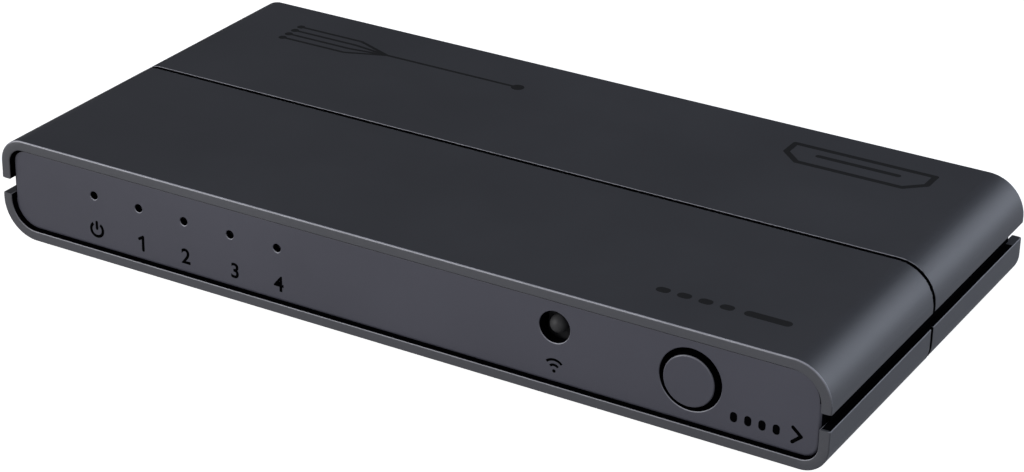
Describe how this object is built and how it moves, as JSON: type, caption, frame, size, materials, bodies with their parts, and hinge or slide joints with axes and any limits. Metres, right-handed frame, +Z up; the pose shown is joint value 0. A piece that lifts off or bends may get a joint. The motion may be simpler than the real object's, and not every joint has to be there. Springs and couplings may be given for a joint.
{
  "type": "video switch box",
  "caption": "Flat moulded box that routes a chosen video input to its output, with rounded long edges, side slots, recessed end panels, indicator pinholes and a round select button.",
  "frame": {"origin": "on the table below the centre of the case, at the height of the feet's treads", "axes": "+X to the right along the front, +Y from the front panel to the rear sockets, +Z up"},
  "size_m": [0.145, 0.0724, 0.018],
  "materials": {
    "shell_plastic": "fine matte charcoal moulding",
    "panel_plastic": "fine matte charcoal moulding",
    "button_plastic": "fine matte charcoal moulding",
    "board": "green lacquered glass-fibre board",
    "black_moulding": "black socket moulding",
    "chip_black": "black chip resin",
    "ferrite": "dark ferrite",
    "eye_plastic": "smoky moulded resin",
    "lamp_resin": "smoky lamp resin",
    "plated_sheet": "bright plated sheet steel",
    "gilt_contact": "gold-plated contact strip",
    "pin_steel": "plated pin",
    "can_aluminium": "drawn can",
    "foot_rubber": "soft black rubber",
    "screw_steel": "dark zinc-plated screw"
  },
  "bodies": {
    "case": {"upper_shell": "shell_plastic", "lower_shell": "shell_plastic", "front_panel": "panel_plastic", "rear_panel": "panel_plastic", "main_board": "board", "tact_body": "black_moulding", "power_socket": "black_moulding", "port_core_out": "black_moulding", "port_core_1": "black_moulding", "port_core_2": "black_moulding", "port_core_3": "black_moulding", "port_core_4": "black_moulding", "switch_chip": "chip_black", "control_chip": "chip_black", "regulator": "chip_black", "surge_arrays": "chip_black", "choke": "ferrite", "remote_eye": "eye_plastic", "power_led": "lamp_resin", "input_led_1": "lamp_resin", "input_led_2": "lamp_resin", "input_led_3": "lamp_resin", "input_led_4": "lamp_resin", "tact_cover": "plated_sheet", "tact_dome": "plated_sheet", "power_spring": "plated_sheet", "clock_crystal": "plated_sheet", "port_shell_out": "plated_sheet", "port_shell_1": "plated_sheet", "port_shell_2": "plated_sheet", "port_shell_3": "plated_sheet", "port_shell_4": "plated_sheet", "port_contacts": "gilt_contact", "power_pin": "pin_steel", "capacitors": "can_aluminium", "foot_front_left": "foot_rubber", "foot_front_right": "foot_rubber", "foot_rear_left": "foot_rubber", "foot_rear_right": "foot_rubber", "case_screws": "screw_steel"},
    "button": {"select_button": "button_plastic", "tact_plunger": "black_moulding"}
  },
  "joints": [
    {"name": "select_press", "type": "slide", "parent": "case", "child": "button", "axis": [0, 1, 0], "range_m": [0, 0.0003], "stiffness_N_per_m": 5000, "deforming": ["tact_dome"]}
  ]
}
